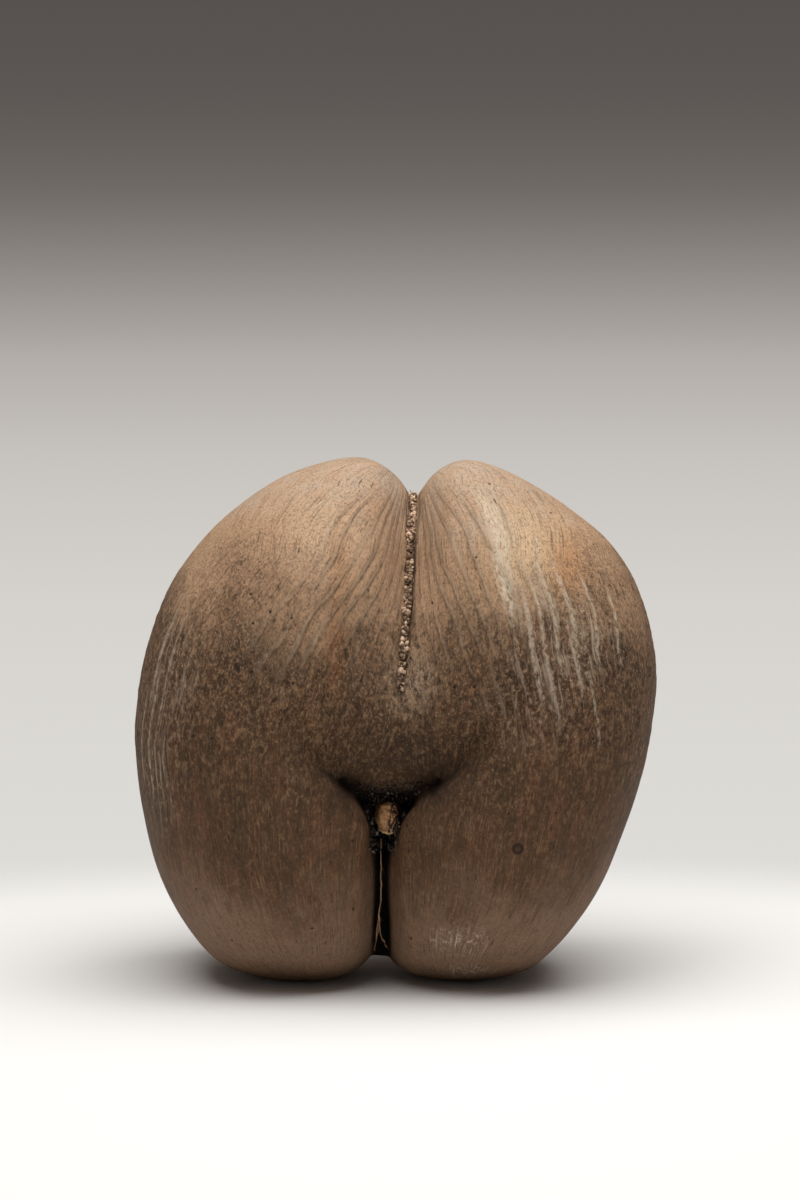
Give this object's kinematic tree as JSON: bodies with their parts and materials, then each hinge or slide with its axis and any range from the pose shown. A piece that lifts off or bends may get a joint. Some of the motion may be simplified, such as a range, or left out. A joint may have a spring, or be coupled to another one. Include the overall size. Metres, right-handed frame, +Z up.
{
  "type": "coco de mer nut",
  "caption": "Large two-lobed palm nut with a seam down both faces, a germ pore with its corky plug over a narrow slit, standing on the ends of its lobes.",
  "frame": {"origin": "on the resting surface, under the middle of the nut", "axes": "+Z up from the feet to the crown, -Y out of the face with the seam and the germ pore, +X to that face's right as seen from the front"},
  "size_m": [0.2966, 0.175, 0.2989],
  "materials": {
    "nut_skin": "satin, worn brown shell with fine grain",
    "plug_cork": "matt, corky tan",
    "dark_fibre": "matt, near-black fibre",
    "pale_fibre": "matt, pale straw fibre",
    "husk_crumb": "matt, crumbly grey-brown husk"
  },
  "bodies": {
    "root": {"nut": "nut_skin", "germ_plug": "plug_cork", "pore_fibres": "dark_fibre", "slit_fibres": "pale_fibre", "seam_husk": "husk_crumb"}
  },
  "joints": []
}
